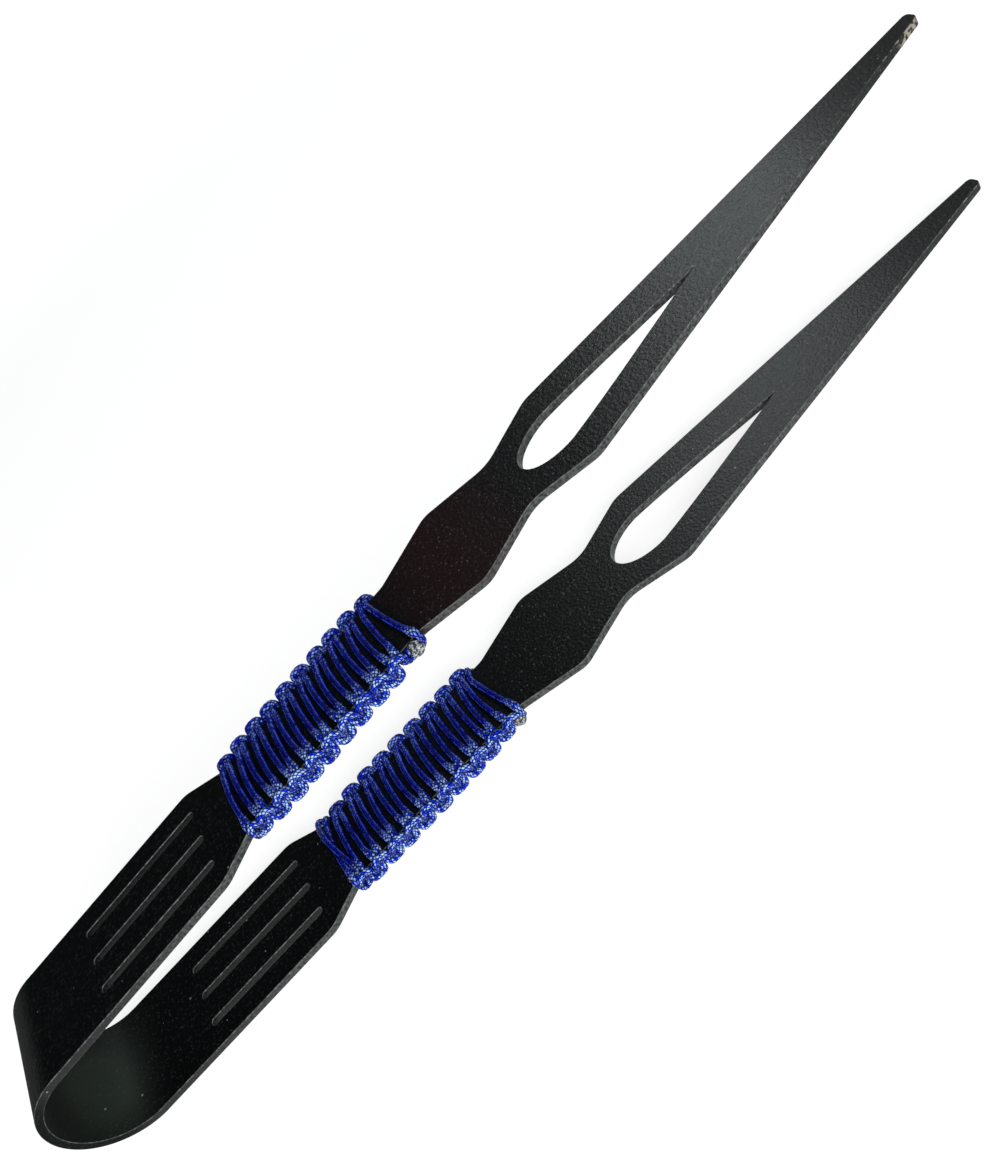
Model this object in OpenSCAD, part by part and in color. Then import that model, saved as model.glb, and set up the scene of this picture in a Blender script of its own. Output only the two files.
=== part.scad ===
// Grill tongs: one strip of sheet metal bent into a U, two shaped arms and a cord wound on each grip.
// The origin is on the bow's own axis, midway across the strip; the lower arm lies flat along +X.

/* [Strip] */
// Thickness of the sheet
sheet_t = 3; // [2:0.1:4]
// Full width of the strip, at the handle and at the two guard corners
strip_w = 44; // [36:1:52]
// Radius of the bow, to the middle of the sheet
bow_r = 22.5; // [18:0.5:28]
// Angle between the two arms when nothing squeezes them, in degrees
open_deg = 3.27; // [1:0.01:6]

/* [Arm outline] */
// Length of the straight handle, from the bow to its corner
handle_len = 83; // [70:1:95]
// Length of the taper from the handle down to the grip
taper_len = 17.2; // [12:0.2:24]
// Full width of the grip
grip_w = 29; // [24:0.5:34]
// Length of the straight grip
grip_len = 79.8; // [70:0.2:90]
// Length of the flank from the grip out to the guard corner
flank_len = 25.6; // [18:0.2:32]
// Length from the guard corner in to the neck
neck_in_len = 26.2; // [18:0.2:32]
// Width that the neck's straight sides would meet at
neck_w = 28.6; // [24:0.2:34]
// Length from the neck out to the blade's corner
neck_out_len = 23.8; // [16:0.2:30]
// Length of the blade, from its corner to the tip
blade_len = 164.4; // [140:0.2:190]
// Width of the blade at the tip
tip_w = 5; // [4:0.1:8]
// Radius of the handle's corner
handle_corner_r = 12; // [4:0.5:16]
// Radius at each end of the grip
grip_corner_r = 8; // [3:0.5:12]
// Radius of the guard corner
guard_corner_r = 10; // [4:0.5:16]
// Radius in the neck
neck_r = 15; // [6:0.5:20]
// Radius of the blade's corner
blade_corner_r = 12; // [4:0.5:16]
// Radius of the tip's two corners
tip_r = 1.9; // [0.5:0.1:1.9]

/* [Cut-outs] */
// Width of each handle slot
slot_w = 2.5; // [2:0.1:4]
// Distance from the bow to the slots
slot_start = 28.6; // [15:0.2:35]
// Length of each slot
slot_len = 54.1; // [40:0.1:60]
// Distance between the slots' middle lines
slot_pitch = 12.2; // [8:0.1:14]
// Number of slots
slot_count = 3; // [1:1:3]
// Radius of a slot's corners
slot_corner_r = 1; // [0.2:0.1:1]
// Distance from the neck to the round end of the teardrop
drop_start = 6.4; // [4:0.2:12]
// Length of the teardrop's round end
drop_round_len = 16.8; // [10:0.2:22]
// Length of the teardrop's pointed end
drop_point_len = 64.4; // [50:0.2:80]
// Full width of the teardrop
drop_w = 19.8; // [12:0.2:22]
// How far the teardrop's sides bulge, 1 for straight sides
drop_bulge = 1.15; // [1:0.01:1.4]

/* [Cord] */
// Diameter of the cord
cord_d = 2.4; // [1.6:0.1:2.8]
// Clearance between the cord and the metal
cord_gap = 0.3; // [0.2:0.05:0.6]
// Clearance between two strands where they cross at an edge
cross_gap = 0.6; // [0.5:0.05:1]
// Distance along the grip from one edge crossing to the next on the same edge
wrap_pitch = 7.75; // [7.2:0.05:9]
// Number of crossings along one edge
wrap_turns = 10; // [4:1:10]
// Distance from the handle's corner to the first loop of the cord
wrap_start = 15; // [12:0.2:20]
// Length of the cord's melted end on the edge
tail_len = 2.8; // [2.4:0.1:4]

/* [Hidden] */
half_w = strip_w / 2;
s_handle = handle_len;
s_grip0 = s_handle + taper_len;
s_grip1 = s_grip0 + grip_len;
s_guard = s_grip1 + flank_len;
s_neck = s_guard + neck_in_len;
s_blade = s_neck + neck_out_len;
s_tip = s_blade + blade_len;
s_drop0 = s_neck + drop_start;
s_drop1 = s_drop0 + drop_round_len;
s_drop2 = s_drop1 + drop_point_len;
wrap_s0 = s_handle + wrap_start;
// Half the distance between the two strands of a crossing on the upper face
pair_half = (cord_d + cross_gap) / 2;
// The same on the lower face, where each strand lies beside the next crossing's
pair_low = wrap_pitch / 2 - pair_half;
strip_black = [0.11, 0.11, 0.12];
bow_black = [0.09, 0.09, 0.1];
cord_blue = [0.13, 0.2, 0.6];

// Plain vector helpers
function unit(v) = v / norm(v);
function turn(v, a) = [v[0] * cos(a) - v[1] * sin(a), v[0] * sin(a) + v[1] * cos(a)];

// Points of a rounded corner at b, between the neighbours a and c, with radius r
function corner(a, b, c, r, steps) =
    let (
        u = unit(a - b),
        v = unit(c - b),
        half = acos(max(-1, min(1, u * v))) / 2,
        reach = r / tan(half),
        mid = b + unit(u + v) * r / sin(half),
        first = b + u * reach - mid,
        side = sign(u[0] * v[1] - u[1] * v[0]),
        sweep = -side * (180 - 2 * half)
    )
    r <= 0 ? [b] : [for (i = [0 : steps]) mid + turn(first, sweep * i / steps)];

// A closed outline with every corner rounded; each entry is [point, radius]
function rounded(list, steps) =
    let (n = len(list))
    [for (i = [0 : n - 1])
        each corner(list[(i + n - 1) % n][0], list[i][0], list[(i + 1) % n][0], list[i][1], steps)];

// One side of the arm, from the bow to the tip
arm_side = [
    [[0, half_w], 0],
    [[s_handle, half_w], handle_corner_r],
    [[s_grip0, grip_w / 2], grip_corner_r],
    [[s_grip1, grip_w / 2], grip_corner_r],
    [[s_guard, half_w], guard_corner_r],
    [[s_neck, neck_w / 2], neck_r],
    [[s_blade, half_w], blade_corner_r],
    [[s_tip, tip_w / 2], tip_r]
];

function mirrored(list) = [for (i = [len(list) - 1 : -1 : 0]) [[list[i][0][0], -list[i][0][1]], list[i][1]]];

arm_outline = rounded(concat(arm_side, mirrored(arm_side)), 8);

// One side of the teardrop: a half ellipse, then a gently bulged side to the point
drop_side = concat(
    [for (a = [0 : 7.5 : 90]) [s_drop1 - drop_round_len * cos(a), drop_w / 2 * sin(a)]],
    [for (u = [0.08 : 0.08 : 0.97]) [s_drop1 + drop_point_len * u, drop_w / 2 * (1 - pow(u, drop_bulge))]]
);
drop_outline = concat(
    drop_side,
    [[s_drop2, 0]],
    [for (i = [len(drop_side) - 1 : -1 : 1]) [drop_side[i][0], -drop_side[i][1]]]
);

function slot_outline(y) = rounded([
    [[slot_start, y - slot_w / 2], slot_corner_r],
    [[slot_start + slot_len, y - slot_w / 2], slot_corner_r],
    [[slot_start + slot_len, y + slot_w / 2], slot_corner_r],
    [[slot_start, y + slot_w / 2], slot_corner_r]
], 4);

// An arm flat on its middle plane, with its slots and its teardrop
module arm_blank() {
    translate([0, 0, -sheet_t / 2])
        linear_extrude(sheet_t)
            difference() {
                polygon(arm_outline);
                polygon(drop_outline);
                for (i = [0 : slot_count - 1])
                    polygon(slot_outline((i - (slot_count - 1) / 2) * slot_pitch));
            }
}

module place_lower() {
    translate([0, 0, -bow_r]) children();
}

module place_upper() {
    rotate([0, -open_deg, 0]) translate([0, 0, bow_r]) children();
}

// The cord is one tube: it winds down the grip, loops once round the near edge and winds back up.
// Crossing q lies on the near edge when q is even and on the far edge when it is odd.
half_count = 2 * wrap_turns;
face_z = sheet_t / 2 + cord_gap + cord_d / 2;
bend_r = cord_gap + cord_d / 2;

// Extra width that the fillet leaves beside the grip's first corner
fillet_rise = grip_corner_r * (1 / cos(atan((half_w - grip_w / 2) / taper_len) / 2) - 1);

// Half the strip's width at distance s, where the cord lies on it
function strip_half(s) =
    s < s_handle ? half_w :
    s < s_grip0 ? half_w + (grip_w / 2 - half_w) * (s - s_handle) / taper_len + fillet_rise :
    s < s_grip1 ? grip_w / 2 :
    grip_w / 2 + (half_w - grip_w / 2) * min(1, (s - s_grip1) / flank_len);

// Points round one edge, from the bottom face to the top face, as [shift along, out, up]
function edge_inner(e) = [
    [1, e - bend_r, -face_z],
    [1, e - bend_r * 0.29, -face_z + bend_r * 0.29],
    [0.8, e, -face_z + bend_r],
    [0, e, 0],
    [-0.8, e, face_z - bend_r],
    [-1, e - bend_r * 0.29, face_z - bend_r * 0.29],
    [-1, e - bend_r, face_z]
];
function edge_outer(e, rise) = [
    [1, e - bend_r * 0.73, -face_z],
    [1, e + rise * 0.42, -face_z + bend_r * 0.3],
    [0.7, e + rise * 0.86, -face_z + bend_r * 1.07],
    [0, e + rise, 0],
    [-0.7, e + rise * 0.86, face_z - bend_r * 1.07],
    [-1, e + rise * 0.42, face_z - bend_r * 0.3],
    [-1, e - bend_r * 0.73, face_z]
];

// Crossing c along the tube: its place q, its edge, its direction and whether it runs outside the other strand
function crossing(c) =
    let (
        q = abs(half_count - c),
        near = q % 2 == 0,
        way = c < half_count ? 1 : c > half_count ? -1 : 0,
        outside = q > 0 && (near ? c < half_count : c > half_count),
        s = wrap_s0 + q * wrap_pitch / 2,
        reach = abs(way) * pair_half + cord_d / 2,
        e = max(strip_half(s - reach), strip_half(s + reach)) + bend_r,
        list = outside ? edge_outer(e, cord_d + cross_gap) : edge_inner(e),
        rise = near ? 1 : -1
    )
    [for (p = list)
        let (up = rise * p[2])
        [s + way * p[0] * (up < 0 ? pair_low : pair_half), near ? -p[1] : p[1], up]];

// Free ends on the near edge by the guard: one passes straight round the edge, one stops on it, melted
tail_shift = 2;
function end_first() =
    let (s = wrap_s0 + half_count * wrap_pitch / 2 + tail_shift, e = strip_half(s + cord_d / 2) + bend_r)
    [for (i = [2 : 6]) let (p = edge_inner(e)[i]) [s, -p[1], p[2]]];
function end_last() =
    let (s = wrap_s0 + half_count * wrap_pitch / 2 - pair_low, e = strip_half(s) + bend_r)
    concat(
        [for (i = [0 : 2]) let (p = edge_inner(e)[i]) [s, -p[1], p[2]]],
        [for (f = [0.5, 1]) [s, -e, -face_z + bend_r + f * tail_len]]);

// A middle point on each face between two crossings
function with_faces(groups) = [
    for (i = [0 : len(groups) - 1])
        each concat(groups[i],
            i < len(groups) - 1 ? [(groups[i][len(groups[i]) - 1] + groups[i + 1][0]) / 2] : [])
];

cord_path = with_faces([
    for (c = [0 : 2 * half_count])
        c == 0 ? end_first() : c == 2 * half_count ? end_last() : crossing(c)
]);

sides = 6;

function tangent(path, i) =
    unit(path[min(i + 1, len(path) - 1)] - path[max(i - 1, 0)]);

function ring(path, i, r) =
    let (
        t = tangent(path, i),
        n = unit(cross(t, [1, 0, 0])),
        b = cross(t, n)
    )
    [for (k = [0 : sides - 1]) path[i] + r * (cos(360 * k / sides) * n + sin(360 * k / sides) * b)];

module tube(path, d) {
    n = len(path);
    pts = [for (i = [0 : n - 1]) each ring(path, i, d / 2)];
    walls = [
        for (i = [0 : n - 2], k = [0 : sides - 1])
            let (k2 = (k + 1) % sides)
            each [
                [i * sides + k, (i + 1) * sides + k, (i + 1) * sides + k2],
                [i * sides + k, (i + 1) * sides + k2, i * sides + k2]
            ]
    ];
    cap0 = [for (k = [0 : sides - 1]) k];
    cap1 = [for (k = [sides - 1 : -1 : 0]) (n - 1) * sides + k];
    polyhedron(points = pts, faces = concat(walls, [cap0, cap1]), convexity = 10);
}

// Least distance between middle-line points more than one cord's bend apart, for the report
path_len = [for (i = 0, s = 0; i < len(cord_path); s = s + (i < len(cord_path) - 1 ?
    norm(cord_path[i + 1] - cord_path[i]) : 0), i = i + 1) s];
fine_path = [
    for (i = [0 : len(cord_path) - 2], f = [0 : 0.25 : 0.99])
        [cord_path[i] + f * (cord_path[i + 1] - cord_path[i]),
         path_len[i] + f * (path_len[i + 1] - path_len[i])]
];
function least_gap(list) = min([
    for (i = [0 : 2 : len(list) - 1])
        let (near_self = [
            for (j = [i + 1 : len(list) - 1])
                if (list[j][1] - list[i][1] > 3 * cord_d) norm(list[j][0] - list[i][0])
        ])
        if (len(near_self) > 0) min(near_self)
]) - cord_d;

module lower_arm() {
    color(strip_black) place_lower() arm_blank();
}

module upper_arm() {
    color(strip_black) place_upper() arm_blank();
}

module spring_bow() {
    color(bow_black)
        rotate([90, 0, 0])
            rotate([0, 0, 90 + open_deg])
                rotate_extrude(angle = 180 - open_deg, $fn = 128)
                    translate([bow_r - sheet_t / 2, -half_w]) square([sheet_t, strip_w]);
}

module lower_grip_cord() {
    color(cord_blue) place_lower() tube(cord_path, cord_d);
}

module upper_grip_cord() {
    color(cord_blue) place_upper() tube(cord_path, cord_d);
}

lower_arm();
spring_bow();
upper_arm();
lower_grip_cord();
upper_grip_cord();

echo(rings = len(cord_path), cord_length = path_len[len(path_len) - 1]);
echo(least_gap = least_gap(fine_path));
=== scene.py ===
# %% [markdown]
# Grill tongs with corded grips
#
# One flat strip of black coated steel is bent into a U, so that it is its own spring. Each arm has three
# slots, a waist wound with blue cord, guard corners and a long blade with a teardrop cut-out.
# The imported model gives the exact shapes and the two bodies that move. Here each piece gets its looks.
# The tongs' lengths are written in millimetres, and MM turns them into Blender's metres. The table and the
# lamps are written in metres.

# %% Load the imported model
import math

import bpy
from mathutils import Matrix, Vector, kdtree


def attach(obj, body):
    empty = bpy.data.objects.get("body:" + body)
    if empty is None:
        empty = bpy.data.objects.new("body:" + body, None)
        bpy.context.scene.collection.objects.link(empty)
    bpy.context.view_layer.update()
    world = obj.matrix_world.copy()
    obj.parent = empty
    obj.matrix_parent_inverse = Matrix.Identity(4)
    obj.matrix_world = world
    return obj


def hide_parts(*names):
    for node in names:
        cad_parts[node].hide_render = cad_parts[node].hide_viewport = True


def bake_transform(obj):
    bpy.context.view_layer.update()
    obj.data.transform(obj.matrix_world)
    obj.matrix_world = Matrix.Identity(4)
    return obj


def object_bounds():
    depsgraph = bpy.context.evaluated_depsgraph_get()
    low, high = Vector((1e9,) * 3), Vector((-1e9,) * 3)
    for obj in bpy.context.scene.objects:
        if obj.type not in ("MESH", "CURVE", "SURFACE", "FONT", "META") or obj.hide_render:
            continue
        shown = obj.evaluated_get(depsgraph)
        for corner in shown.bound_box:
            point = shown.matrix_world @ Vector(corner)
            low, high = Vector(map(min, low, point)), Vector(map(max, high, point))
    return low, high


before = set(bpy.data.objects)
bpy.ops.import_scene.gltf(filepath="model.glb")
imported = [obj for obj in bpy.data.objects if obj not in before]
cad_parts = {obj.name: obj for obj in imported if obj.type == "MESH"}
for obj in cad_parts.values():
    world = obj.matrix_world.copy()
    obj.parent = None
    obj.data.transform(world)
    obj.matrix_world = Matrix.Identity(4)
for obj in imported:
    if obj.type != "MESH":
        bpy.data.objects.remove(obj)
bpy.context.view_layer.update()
scene = bpy.context.scene
scene.view_settings.view_transform = "Standard"
MM = 0.001

# %% [markdown]
# The camera
#
# A picture of a known flat outline fixes the camera: corners of both arms were marked in the photograph,
# and the camera's place, turn and focal length were solved so that the model's corners land on them.
# Its three directions are written out, so that no angle has to be guessed.

# %% Camera
LOOK_RIGHT = Vector((0.68596, -0.47835, -0.54830))
LOOK_DOWN = Vector((-0.72758, -0.46078, -0.50825))
LOOK_AHEAD = Vector((-0.00952, 0.74757, -0.66411))
CAMERA_PLACE = Vector((208.33, -271.21, 250.88)) * MM
SENSOR_WIDTH, FOCAL_LENGTH = 36, 39.62
camera_data = bpy.data.cameras.new("table_camera")
camera_data.sensor_fit = "HORIZONTAL"
camera_data.sensor_width, camera_data.lens = SENSOR_WIDTH, FOCAL_LENGTH
camera = bpy.data.objects.new("table_camera", camera_data)
scene.collection.objects.link(camera)
camera_axes = Matrix((LOOK_RIGHT, -LOOK_DOWN, -LOOK_AHEAD)).transposed()
camera.matrix_world = Matrix.Translation(CAMERA_PLACE) @ camera_axes.to_4x4()
scene.camera = camera
print("camera stands at", [round(v, 3) for v in camera.matrix_world.translation])

# %% [markdown]
# A short way to write shaders
#
# A finish is a chain of small sums on positions and noises. Added node by node, such sums are hard to read.
# Wrapping a socket in a class lets them be written as plain expressions: each operator adds its Math node.
# Every other node comes from one method.


# %% Shader values
class Signal:
    """A socket of a material, with the usual operators on its values."""

    def __init__(self, finish, socket):
        self.finish, self.socket = finish, socket

    def maths(self, operation, *others):
        """A Math node whose first value is this one."""
        return self.finish.maths(operation, self, *others)

    def __add__(self, other):
        return self.maths("ADD", other)

    def __sub__(self, other):
        return self.maths("SUBTRACT", other)

    def __rsub__(self, other):
        return self.finish.maths("SUBTRACT", other, self)

    def __mul__(self, other):
        return self.maths("MULTIPLY", other)

    def __mod__(self, other):
        return self.maths("MODULO", other)

    def __abs__(self):
        return self.maths("ABSOLUTE")

    __radd__, __rmul__ = __add__, __mul__

    def over(self, limit, soft):
        """0 below the limit, 1 above limit + soft, with a smooth step between."""
        settings = {"interpolation_type": "SMOOTHSTEP"}
        return self.finish.node("ShaderNodeMapRange", settings, {0: self, 1: limit, 2: limit + soft})

    def span(self, low, high):
        """Low where this is 0, and high where it is 1."""
        return low + self * (high - low)


# %% Finishes
# The Mix node's colours go by number, because its numbers and vectors have the same names.
FIRST_COLOUR, SECOND_COLOUR, MIXED_COLOUR = 6, 7, 2


def opaque(colour):
    """A written colour with its alpha, or a linked colour as it is."""
    return colour if isinstance(colour, Signal) else (*colour, 1)


class Finish:
    """A new material. node() adds any node, and shade() sets the values of its surface."""

    def __init__(self, name):
        self.material = bpy.data.materials.new(name)
        self.material.use_nodes = True
        self.tree = self.material.node_tree
        self.surface = self.tree.nodes["Principled BSDF"]

    def plug(self, socket, value):
        """Links a signal to a socket, or sets a plain value."""
        if isinstance(value, Signal):
            self.tree.links.new(value.socket, socket)
        else:
            socket.default_value = value

    def node(self, kind, settings=None, values=None, out=0):
        """A node of any kind: first its settings, then the values or links of its sockets."""
        made = self.tree.nodes.new(kind)
        for key, value in (settings or {}).items():
            setattr(made, key, value)
        for key, value in (values or {}).items():
            self.plug(made.inputs[key], value)
        return Signal(self, made.outputs[out])

    def maths(self, operation, *values):
        return self.node("ShaderNodeMath", {"operation": operation}, dict(enumerate(values)))

    def place(self):
        """Where a point of the piece is, in metres."""
        return self.node("ShaderNodeTexCoord", out="Object")

    def part(self, vector, axis):
        """One of a vector's numbers."""
        return self.node("ShaderNodeSeparateXYZ", None, {0: vector}, out=axis)

    def attribute(self, name):
        """A number that the mesh carries."""
        return self.node("ShaderNodeAttribute", {"attribute_name": name}, out="Fac")

    def noise(self, place, size, detail):
        values = {"Vector": place, "Scale": 1 / size, "Detail": detail}
        return self.node("ShaderNodeTexNoise", None, values, out="Fac")

    def mix(self, amount, first, second):
        values = {"Factor": amount, FIRST_COLOUR: opaque(first), SECOND_COLOUR: opaque(second)}
        return self.node("ShaderNodeMix", {"data_type": "RGBA"}, values, out=MIXED_COLOUR)

    def bump(self, height, depth, strength):
        values = {"Height": height, "Distance": depth, "Strength": strength}
        return self.node("ShaderNodeBump", None, values)

    def shade(self, **values):
        for key, value in values.items():
            self.plug(self.surface.inputs[key.replace("_", " ")], value)


print("shader helpers ready")

# %% [markdown]
# The black coat: where things are
#
# Powder coat is sprayed on dry and baked over the whole strip, so one finish serves the arms and the bow.
# It could be painted as a picture, but patches worked out from the place on the strip need no picture and
# stay sharp from near by. Faces, cut walls and rims are told apart by an attribute, whose marks the steps
# below leave on the mesh. A slot's wall is marked just over the limit for a wall, so it gets little of the
# walls' grey and stays darker: painted shade in the narrow slot.

# %% Coat: places and noises
FACE_MARK, SHADED_SLOT_MARK, WALL_MARK, RIM_MARK = 0.0, 0.32, 0.5, 1.0
WALL_LIMIT, RIM_LIMIT = (0.3, 0.1), (0.7, 0.1)
coat = Finish("black_powder_coat")
spot = coat.place()
along, across, height = (coat.part(spot, axis) for axis in range(3))
upper = height.over(0.0, 10 * MM)
grain = coat.noise(spot, 1.1 * MM, 3.0)
cloud = coat.noise(spot, 45 * MM, 2.0)
cut = coat.attribute("cut")
wall, rim = cut.over(*WALL_LIMIT), cut.over(*RIM_LIMIT)
scuff = coat.noise(spot, 1.4 * MM, 4.0)


def between(start, stop):
    """1 between two places along the arm, else 0. Each is a limit and the length of its soft step."""
    return along.over(*start) * (1 - along.over(*stop))


print("places and noises take", len(coat.tree.nodes), "nodes")

# %% [markdown]
# The black coat: wear, painted rim highlights and painted glow
#
# The coat is thin on the rims, where it rubs pale in dots, and the pale dots are also painted highlights on
# the rounded rims. At the tips it wears through: dots of bare steel show on the rims, and a strip of it on
# the near wall of the upper tip. Inside the bow a grey patch is painted glow, a painted reflection,
# strongest round one spot low in the bend, and the bend itself is duller than the arms.

# %% Coat: wear, rim highlights and painted glow
PALE_RIM_DOTS, BARE_DOTS, BARE_STREAKS = (0.45, 0.2), (0.53, 0.04), (0.42, 0.16)
TIP = (392 * MM, 30 * MM)
BARE_FROM, BARE_TO = (406.6 * MM, 4 * MM), (416.5 * MM, 1 * MM)
NEAR_SIDE, NEAR_SIDE_SOFT = -0.5 * MM, 0.6 * MM
INSIDE_BOW, INSIDE_BOW_SOFT = 21.1 * MM, 10 * MM**2
BOW_GLOW_END, BEND_END = (-21 * MM, 33 * MM), (-18 * MM, 18 * MM)
BOW_GLOW_PATCH, BOW_GLOW_PATCH_EDGE = (-14 * MM, -2 * MM, -16 * MM), (3 * MM, 22 * MM)
# Pale dots on the rims: partly rubbed coat, partly painted highlights on the rounded rims.
worn_and_highlit_rim = rim * scuff.over(*PALE_RIM_DOTS).span(0.3, 1.0)
tip = along.over(*TIP)
near_tip = between(BARE_FROM, BARE_TO) * (NEAR_SIDE - across).over(0.0, NEAR_SIDE_SOFT)
bare_rim = rim * tip * scuff.over(*BARE_DOTS)
bare_strip = upper * wall * near_tip * scuff.over(*BARE_STREAKS)
bare = bare_rim.maths("MAXIMUM", bare_strip)
behind = along.maths("MINIMUM", 0.0)
from_axis_squared = behind * behind + height * height
in_bow = (1 - from_axis_squared.over(INSIDE_BOW**2, INSIDE_BOW_SOFT)) * (1 - along.over(*BOW_GLOW_END))
to_patch = {0: spot, 1: BOW_GLOW_PATCH}
from_patch = coat.node("ShaderNodeVectorMath", {"operation": "DISTANCE"}, to_patch, out="Value")
# Painted glow: a grey patch inside the bow that stands in for a soft reflection there.
painted_bow_glow = in_bow * (cloud.span(0.25, 0.65) + (1 - from_patch.over(*BOW_GLOW_PATCH_EDGE)) * 0.9)
bend = 1 - along.over(*BEND_END)
print("with wear and film,", len(coat.tree.nodes), "nodes")

# %% [markdown]
# The black coat: dust
#
# Dust shows on a dark coat: a fine one, thickest beyond the handles, and fewer large specks. A noise would
# give blots, so each speck is a round dot in a cell of a scattered grid, in those cells that chance picks.

# %% Coat: dust
SPECK_SOFT = 0.02
FINE_DUST, FINE_DUST_GREY = {"cell": 1.4 * MM, "share": 0.8, "size": 0.28}, (0.085, 0.080, 0.076)
SPECKS, SPECK_GREY = {"cell": 3.4 * MM, "share": 0.26, "size": 0.13}, (0.22, 0.23, 0.24)


def dust(cell, share, size):
    """Round specks in a share of the cells of a scattered grid, up to a size given in cells."""
    values = {"Vector": spot, "Scale": 1 / cell}
    gap = coat.node("ShaderNodeTexVoronoi", None, values, out="Distance")
    middle = coat.node("ShaderNodeTexVoronoi", None, values, out="Position")
    chance = coat.node("ShaderNodeTexWhiteNoise", None, {"Vector": middle}, out="Value")
    return ((chance - (1 - share)) * (size / share) - gap).over(0.0, SPECK_SOFT)


print("cells of fine dust:", FINE_DUST["cell"] / MM, "mm, of specks:", SPECKS["cell"] / MM, "mm")

# %% [markdown]
# The black coat: colours
#
# The coat isn't flat: a fine grain catches the light, with painted highlights on its peaks. The cut walls
# are greyer, partly as thin coat and partly as a painted reflection of the white table, with painted shade
# under the cord. The upper guard has a brown tinge. Each layer is mixed over the one before, from the black
# to the steel.

# %% Coat: colours
DEEP_BLACK, PALE_BLACK = (0.0010, 0.0015, 0.0017), (0.0024, 0.0031, 0.0032)
BROWN, GRAIN_HIGHLIGHT_GREY, BOW_GLOW_GREY = (0.0135, 0.0045, 0.0055), (0.017, 0.020, 0.0205), (0.017, 0.023, 0.019)
WALL_GREY_AND_REFLECTION, RUBBED_AND_HIGHLIGHT_GREY, BARE_STEEL = (0.055, 0.062, 0.060), (0.22, 0.23, 0.23), (0.50, 0.45, 0.37)
GRAIN_PEAKS, GRAIN_PATCHES = (0.56, 0.12), (0.3, 0.4)
GUARD_FROM, GUARD_TO = (165 * MM, 30 * MM), (205 * MM, 35 * MM)
CORD_FROM, CORD_TO = (99 * MM, 2 * MM), (179 * MM, 3 * MM)
WALLS_PALE, DUSTY = (0.0, 90 * MM), (80 * MM, 80 * MM)
BLADE_END, DULL_END = (330 * MM, 60 * MM), (350 * MM, 60 * MM)
black = coat.mix(cloud, DEEP_BLACK, PALE_BLACK)
guard = between(GUARD_FROM, GUARD_TO) * upper
black = coat.mix(guard * 0.8, black, BROWN)
# Painted highlights: the grain's peaks are mixed towards grey.
black = coat.mix(grain.over(*GRAIN_PEAKS) * 0.6, black, GRAIN_HIGHLIGHT_GREY)
# The painted glow inside the bow, a painted reflection.
black = coat.mix(painted_bow_glow, black, BOW_GLOW_GREY)
under_cord = between(CORD_FROM, CORD_TO)
# The walls' grey: partly thin coat, partly a painted reflection of the white table. It fades out towards the
# bow.
thin_coat_and_painted_light = wall * along.over(*WALLS_PALE) * grain.over(*GRAIN_PATCHES).span(0.1, 1.0)
# Painted shade: the walls under the cord are kept dark. They are also darker on the blades.
thin_coat_and_painted_light = thin_coat_and_painted_light * (1 - under_cord * 0.85)
thin_coat_and_painted_light = thin_coat_and_painted_light * (1 - along.over(*BLADE_END) * 0.85)
black = coat.mix(thin_coat_and_painted_light, black, WALL_GREY_AND_REFLECTION)
fine_dust = dust(**FINE_DUST) * along.over(*DUSTY).span(0.2, 0.55) * (1 - under_cord)
dusty = coat.mix(fine_dust, black, FINE_DUST_GREY)
dusty = coat.mix(dust(**SPECKS) * 0.7, dusty, SPECK_GREY)
# Pale rim dots, part wear and part painted highlight, fewer on the upper blade.
rubbed_and_highlit = coat.mix(worn_and_highlit_rim * (0.45 - upper * along.over(*BLADE_END) * 0.25), dusty, RUBBED_AND_HIGHLIGHT_GREY)
coat.shade(
    Base_Color=coat.mix(bare, rubbed_and_highlit, BARE_STEEL),
    Metallic=bare,
    Roughness=grain.span(0.31, 0.43) + bend * 0.5 + along.over(*DULL_END) * upper.span(0.1, 0.2),
    Normal=coat.bump(grain, 0.18 * MM, 0.9),
    Specular_IOR_Level=0.24,
)
print("coat has", len(coat.tree.nodes), "nodes")

# %% [markdown]
# The two arms
#
# The arms are laser cut from sheet, so their outline is exact but their rims are broken by tumbling and by
# the coat. They could be drawn again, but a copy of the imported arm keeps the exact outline. Its loose
# triangles are merged and its flat faces joined, then every rim between a face and a cut wall gets a small
# round. The seam with the bow stays square, so that the pieces still meet.

# %% Arm helpers
OPEN = math.radians(3.27)
ARM_AXIS = {"lower": Vector((1, 0, 0)), "upper": Vector((math.cos(OPEN), 0, math.sin(OPEN)))}
ROUND, ROUND_STEPS = 0.28 * MM, 3
SEAM, MERGE = 0.05 * MM, 0.001 * MM
FLAT_WITHIN, SMOOTH_WITHIN, FLAT_WEIGHT = math.radians(0.4), math.radians(32), 80


def only(piece):
    """Selects one piece and nothing else, in object mode."""
    if bpy.context.object and bpy.context.object.mode != "OBJECT":
        bpy.ops.object.mode_set(mode="OBJECT")
    bpy.ops.object.select_all(action="DESELECT")
    piece.select_set(True)
    bpy.context.view_layer.objects.active = piece


def copy_of(node, name):
    """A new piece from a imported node's mesh, with its loose triangles merged and its flat faces joined."""
    piece = bpy.data.objects.new(name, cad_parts[node].data.copy())
    scene.collection.objects.link(piece)
    piece.data.materials.clear()
    only(piece)
    bpy.ops.object.mode_set(mode="EDIT")
    bpy.ops.mesh.customdata_custom_splitnormals_clear()
    bpy.ops.mesh.select_all(action="SELECT")
    bpy.ops.mesh.remove_doubles(threshold=MERGE)
    bpy.ops.mesh.dissolve_limited(angle_limit=FLAT_WITHIN)
    bpy.ops.mesh.select_all(action="DESELECT")
    bpy.ops.object.mode_set(mode="OBJECT")
    return piece


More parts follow.
